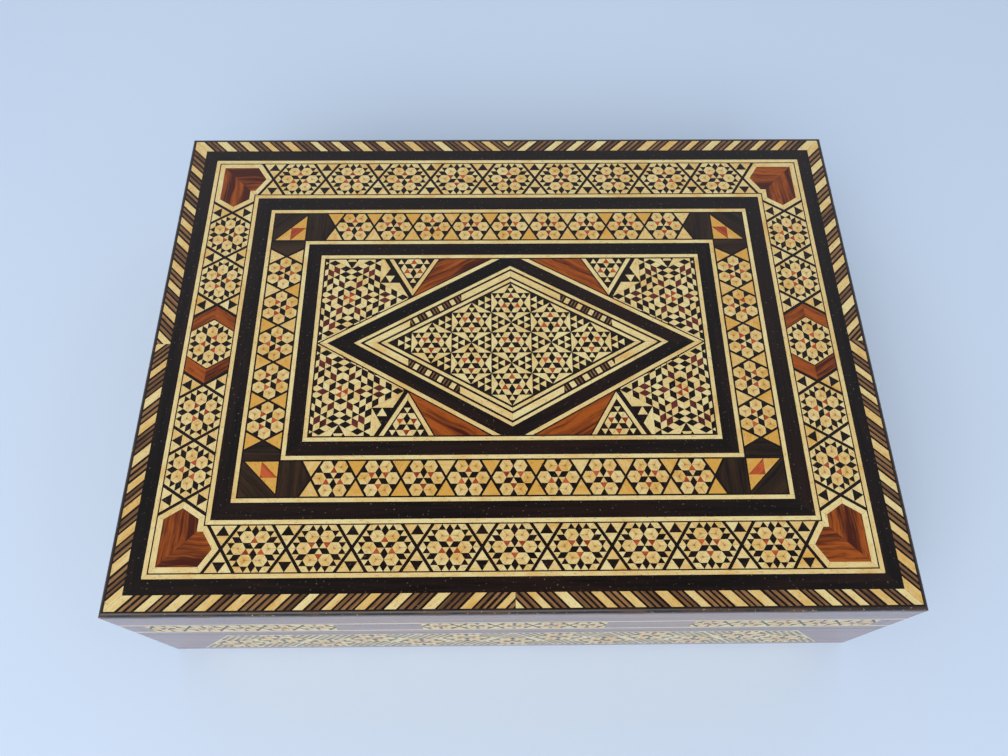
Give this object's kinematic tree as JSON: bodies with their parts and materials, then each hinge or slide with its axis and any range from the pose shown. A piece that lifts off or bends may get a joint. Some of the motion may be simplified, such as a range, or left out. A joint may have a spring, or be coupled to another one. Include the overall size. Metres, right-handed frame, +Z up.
{
  "type": "inlaid box",
  "caption": "Low rectangular hinged jewellery box covered in geometric star marquetry of dark wood, reddish wood and bone, with a lift-up lid.",
  "frame": {"origin": "middle of the flat underside, in the plane the box stands on", "axes": "+X along the long front to the box's right seen from the front, +Y to the back where the hinges are, +Z up"},
  "size_m": [0.272, 0.2053, 0.075],
  "materials": {
    "carcass_wood": "bare sanded walnut boards",
    "ebony": "glossy lacquered dark veneer",
    "rosewood": "glossy lacquered reddish veneer",
    "walnut": "glossy lacquered dark brown veneer",
    "bone": "lacquered cream bone slips",
    "star_mosaic": "lacquered wood and bone micro-mosaic",
    "rope_mosaic": "lacquered slanted wood and bone banding",
    "stained_wood": "lacquered orange-stained wood",
    "velvet": "short-pile velvet over card",
    "hinge_brass": "plain lightly tarnished brass"
  },
  "bodies": {
    "base": {"base_front_board": "carcass_wood", "base_back_board": "carcass_wood", "base_left_board": "carcass_wood", "base_right_board": "carcass_wood", "base_bottom_board": "carcass_wood", "base_side_veneers": "rosewood", "base_zigzag_lattices": "bone", "base_mosaic_triangles": "star_mosaic", "base_floor_lining": "velvet", "base_wall_linings": "velvet", "hinge_lower_leaves": "hinge_brass", "hinge_pins": "hinge_brass"},
    "lid": {"lid_board": "carcass_wood", "lid_front_rail": "carcass_wood", "lid_back_rail": "carcass_wood", "lid_left_rail": "carcass_wood", "lid_right_rail": "carcass_wood", "lid_side_veneers": "rosewood", "lid_side_ivory_lines": "bone", "lid_side_star_bands": "star_mosaic", "lid_edge_banding": "ebony", "rope_banding": "rope_mosaic", "outer_ebony_band": "ebony", "first_ivory_line": "bone", "outer_star_tiles": "star_mosaic", "outer_gap_triangles": "star_mosaic", "medallion_tiles": "star_mosaic", "medallion_chevrons": "rosewood", "corner_ivory_borders": "bone", "corner_rosewood_tiles": "rosewood", "outer_band_ground": "ebony", "second_ivory_line": "bone", "middle_ebony_band": "ebony", "third_ivory_line": "bone", "inner_star_tiles": "star_mosaic", "inner_gap_triangles": "star_mosaic", "inner_walnut_blocks": "walnut", "inner_corner_triangles": "stained_wood", "inner_band_ground": "ebony", "fourth_ivory_line": "bone", "inner_ebony_band": "ebony", "panel_ivory_frame": "bone", "panel_ground": "ebony", "diamond_ivory_outline": "bone", "diamond_ebony_band": "ebony", "diamond_ivory_lines": "bone", "diamond_ivory_band": "bone", "diamond_checker_blocks": "star_mosaic", "diamond_star_tiles": "star_mosaic", "diamond_gap_triangles": "star_mosaic", "corner_mosaics": "star_mosaic", "triangle_mosaics": "star_mosaic", "ivory_v_strips": "bone", "rosewood_triangles": "rosewood", "lid_top_lining": "velvet", "lid_wall_linings": "velvet", "hinge_upper_leaves": "hinge_brass"}
  },
  "joints": [
    {"name": "lid_hinge", "type": "hinge", "parent": "base", "child": "lid", "pos_m": [0, 0.1028, 0.03715], "axis": [-1, 0, 0], "range_deg": [0, 100]}
  ]
}
